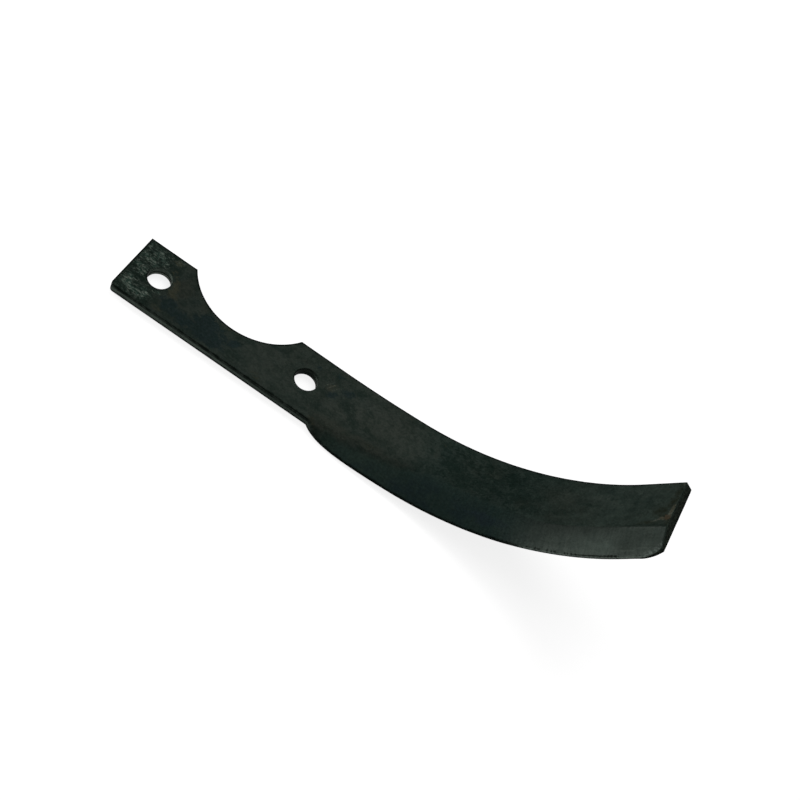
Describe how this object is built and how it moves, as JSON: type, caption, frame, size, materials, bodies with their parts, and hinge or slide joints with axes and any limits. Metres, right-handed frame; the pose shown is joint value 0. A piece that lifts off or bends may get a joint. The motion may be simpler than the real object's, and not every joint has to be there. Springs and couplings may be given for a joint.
{
  "type": "rotary tiller blade",
  "caption": "Curved soil-cutting blade: a flat shank with bolt holes and a half-round notch for a rotor tube, and a bent blade with a bevelled edge.",
  "frame": {"origin": "midway between the two bolt holes, on the flat back face of the shank", "axes": "+X along the shank toward the cutting tip, +Y toward the notched long edge, +Z out of the front face, which is the hollow side of the bend"},
  "size_m": [0.2487, 0.0383, 0.0765],
  "materials": {
    "blackened_steel": "dark oxide with forging scale"
  },
  "bodies": {
    "root": {"blade": "blackened_steel"}
  },
  "joints": []
}
